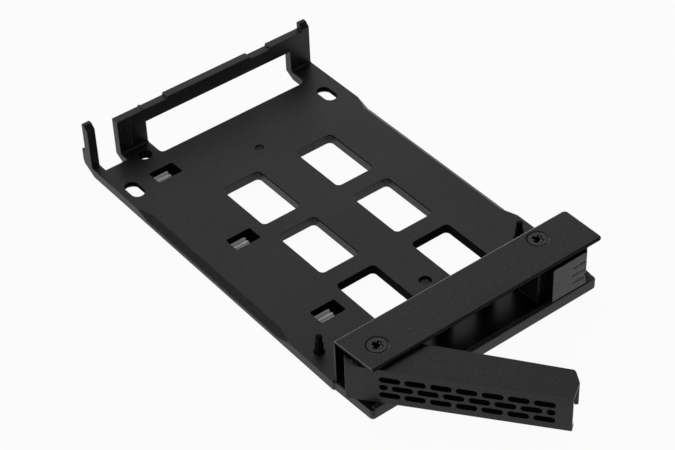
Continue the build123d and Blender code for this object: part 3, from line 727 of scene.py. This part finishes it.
class RACK_OT_coat_mouldings(bpy.types.Operator):
    """Round the edges of tray, cover, lever, button and pegs and give them their coats"""

    bl_idname = "rack.coat_mouldings"
    bl_label = "Coat the mouldings"

    def execute(self, context):
        group = grained_coat_group()
        for name in COATS:
            coated(name, context.scene.rack_finish, group)
        model(context.scene.rack_shape, MOULDINGS)
        return {"FINISHED"}


class RACK_OT_finish_hardware(bpy.types.Operator):
    """Give screws, rivets, springs, post and contact strip their metal finishes"""

    bl_idname = "rack.finish_hardware"
    bl_label = "Finish the hardware"

    def execute(self, context):
        shape = context.scene.rack_shape
        group = drawn_metal_group()
        for name in METALS:
            bare_metal(name, context.scene.rack_finish, group)
        model(shape, HARDWARE)
        for material, nodes in BARE_NODES.items():
            for node in nodes:
                dress(NODES[node], (material,))
        self.plate_strip(shape.strip_edge)
        return {"FINISHED"}

    def plate_strip(self, width):
        """Models the contact strip, plated but for the right third of its pads, which takes painted
        shade.
        """
        materials = ("Plated strip", PAINTED_SHADE_COAT, "Plated strip")
        strip = softened("contact_strip", "contact_strip_plated", width, 1, materials)
        pick_only(strip)
        bpy.ops.object.mode_set(mode="EDIT")
        bpy.ops.mesh.select_all(action="SELECT")
        bpy.ops.mesh.bisect(plane_co=(PAD_END, 0.0, 0.0), plane_no=(1.0, 0.0, 0.0))
        bpy.ops.object.mode_set(mode="OBJECT")
        recoat(strip, 1, on_dark_third)
        stand_in(strip, "contact_strip", "tray")


class RACK_OT_set_stage(bpy.types.Operator):
    """Lay the floor, hang the lamps and stand the camera where the picture was taken"""

    bl_idname = "rack.set_stage"
    bl_label = "Set the stage"

    def execute(self, context):
        stage = context.scene.rack_stage
        self.lay_floor(stage)
        self.light_room(context.scene, stage)
        self.hang_lamp("Rear lamp", stage.rear_lamp_place, stage.rear_lamp_size, stage.rear_lamp)
        self.hang_lamp("Side lamp", stage.side_lamp_place, stage.side_lamp_size, stage.side_lamp)
        camera = bpy.data.objects.new("Camera", bpy.data.cameras.new("Camera"))
        context.scene.collection.objects.link(camera)
        camera.data.sensor_width = 36.0
        camera.data.lens = stage.lens
        camera.data.clip_start = 0.01
        camera.location = stage.camera_place
        camera.rotation_euler = Euler(stage.camera_turn)
        context.scene.camera = camera
        context.scene.view_settings.view_transform = "Standard"
        return {"FINISHED"}

    def lay_floor(self, stage):
        """Pale floor at the height of the tray's underside."""
        underside = cad_box[0][2]
        bpy.ops.mesh.primitive_plane_add(size=stage.floor_width, location=(0.0, 0.0, underside))
        floor = bpy.context.object
        floor.name = "Floor"
        material, nodes, links = new_material("Pale floor")
        plain = new_node(nodes, "ShaderNodeBsdfDiffuse", {"Color": (*stage.floor_colour, 1.0)})
        white = new_node(nodes, "ShaderNodeEmission")
        share = new_node(nodes, "ShaderNodeMath", {1: stage.floor_white}, operation="MULTIPLY")
        blend = new_node(nodes, "ShaderNodeMixShader")
        output = new_node(nodes, "ShaderNodeOutputMaterial")
        links.new(self.seen_white(nodes, links), share.inputs[0])
        links.new(share.outputs["Value"], blend.inputs["Fac"])
        links.new(plain.outputs["BSDF"], blend.inputs[1])
        links.new(white.outputs["Emission"], blend.inputs[2])
        links.new(blend.outputs["Shader"], output.inputs["Surface"])
        dress(floor, (material.name,))

    def light_room(self, scene, stage):
        """Even light of a room with a white backdrop and a dim ceiling."""
        world = bpy.data.worlds.new("Room")
        scene.world = world
        world.use_nodes = True
        nodes, links = world.node_tree.nodes, world.node_tree.links
        nodes.clear()
        room = new_node(nodes, "ShaderNodeBackground", {"Strength": stage.room_light})
        backdrop = new_node(nodes, "ShaderNodeBackground", {"Color": (1.0, 1.0, 1.0, 1.0)})
        direction = new_node(nodes, "ShaderNodeTexCoord")
        height = new_node(nodes, "ShaderNodeSeparateXYZ")
        links.new(direction.outputs["Generated"], height.inputs["Vector"])
        fade = new_node(
            nodes, "ShaderNodeMapRange",
            {"From Min": BACKDROP_LOW, "From Max": BACKDROP_HIGH, "To Min": 1.0, "To Max": 0.0},
            interpolation_type="SMOOTHSTEP",
        )
        links.new(height.outputs["Z"], fade.inputs["Value"])
        choice = new_node(nodes, "ShaderNodeMixShader")
        output = new_node(nodes, "ShaderNodeOutputWorld")
        white = self.seen_white(nodes, links, fade.outputs["Result"])
        links.new(white, choice.inputs["Fac"])
        links.new(room.outputs["Background"], choice.inputs[1])
        links.new(backdrop.outputs["Background"], choice.inputs[2])
        links.new(choice.outputs["Shader"], output.inputs["Surface"])

    def seen_white(self, nodes, links, in_gloss=None):
        """Socket that is 1 for what is seen directly or through glass, and 1 or less in gloss."""
        path = new_node(nodes, "ShaderNodeLightPath")
        shine = path.outputs["Is Glossy Ray"]
        if in_gloss is not None:
            shine = combined(nodes, links, "MULTIPLY", shine, in_gloss)
        seen = combined(nodes, links, "MAXIMUM", path.outputs["Is Camera Ray"], shine)
        return combined(nodes, links, "MAXIMUM", seen, path.outputs["Is Transmission Ray"])

    def hang_lamp(self, name, place, size, power):
        """Soft lamp of a width and a height that faces the tray."""
        lamp = bpy.data.objects.new(name, bpy.data.lights.new(name, "AREA"))
        bpy.context.scene.collection.objects.link(lamp)
        lamp.data.shape = "RECTANGLE"
        lamp.data.size, lamp.data.size_y = size
        lamp.data.energy = power
        lamp.location = place
        lamp.rotation_euler = (-Vector(place)).to_track_quat("-Z", "Y").to_euler()


class RACK_PT_panel(bpy.types.Panel):
    """Lists the settings and the steps that build the dressed tray"""

    bl_idname = "RACK_PT_panel"
    bl_label = "Drive rack tray"
    bl_space_type = "VIEW_3D"
    bl_region_type = "UI"
    bl_category = "Drive rack"

    def draw(self, context):
        scene = context.scene
        for group in (scene.rack_finish, scene.rack_shape, scene.rack_stage):
            box = self.layout.box()
            for name in group.__annotations__:
                box.prop(group, name)
        for operator in STEPS:
            self.layout.operator(operator.bl_idname)


STEPS = (RACK_OT_coat_mouldings, RACK_OT_finish_hardware, RACK_OT_set_stage)
CLASSES = (RackFinishSettings, RackShapeSettings, RackStageSettings, *STEPS, RACK_PT_panel)


def register():
    """Makes the classes and the settings known to Blender."""
    for cls in CLASSES:
        bpy.utils.register_class(cls)
    bpy.types.Scene.rack_finish = PointerProperty(type=RackFinishSettings)
    bpy.types.Scene.rack_shape = PointerProperty(type=RackShapeSettings)
    bpy.types.Scene.rack_stage = PointerProperty(type=RackStageSettings)


def unregister():
    """Takes them away again."""
    del bpy.types.Scene.rack_stage
    del bpy.types.Scene.rack_shape
    del bpy.types.Scene.rack_finish
    for cls in reversed(CLASSES):
        bpy.utils.unregister_class(cls)


def main():
    """Registers the add-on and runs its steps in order."""
    register()
    bpy.ops.rack.coat_mouldings()
    bpy.ops.rack.finish_hardware()
    bpy.ops.rack.set_stage()


if __name__ == "__main__":
    main()
